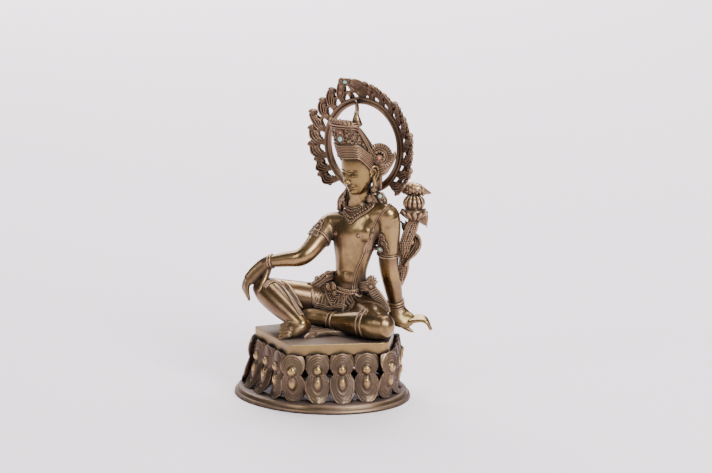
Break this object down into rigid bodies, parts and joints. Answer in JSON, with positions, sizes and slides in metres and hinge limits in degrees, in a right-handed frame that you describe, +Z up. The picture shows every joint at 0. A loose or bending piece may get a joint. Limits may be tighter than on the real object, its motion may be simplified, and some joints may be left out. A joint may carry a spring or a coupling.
{
  "type": "seated bodhisattva figure",
  "caption": "Seated bodhisattva in royal ease with tall crown, flame halo and lotus, cast in copper alloy on an openwork double-lotus pedestal.",
  "frame": {"origin": "on the ground under the middle of the whole piece", "axes": "+Z up; the figure faces -Y and its own left side is +X"},
  "size_m": [0.137, 0.1253, 0.234],
  "materials": {
    "bronze": "worn golden brown patina with polished high points",
    "pedestal_bronze": "grey brown patina with golden edges and bosses",
    "halo_bronze": "reddish brown patina",
    "turquoise": "polished turquoise stone",
    "coral": "polished coral stone"
  },
  "bodies": {
    "root": {"pedestal": "pedestal_bronze", "figure": "bronze", "halo": "halo_bronze", "stone_crown_turquoise": "turquoise", "stone_crown_coral": "coral", "stone_left_rosette": "coral", "stone_left_shoulder": "turquoise", "stone_left_armlet": "turquoise", "stone_halo_turquoise": "turquoise"}
  },
  "joints": []
}
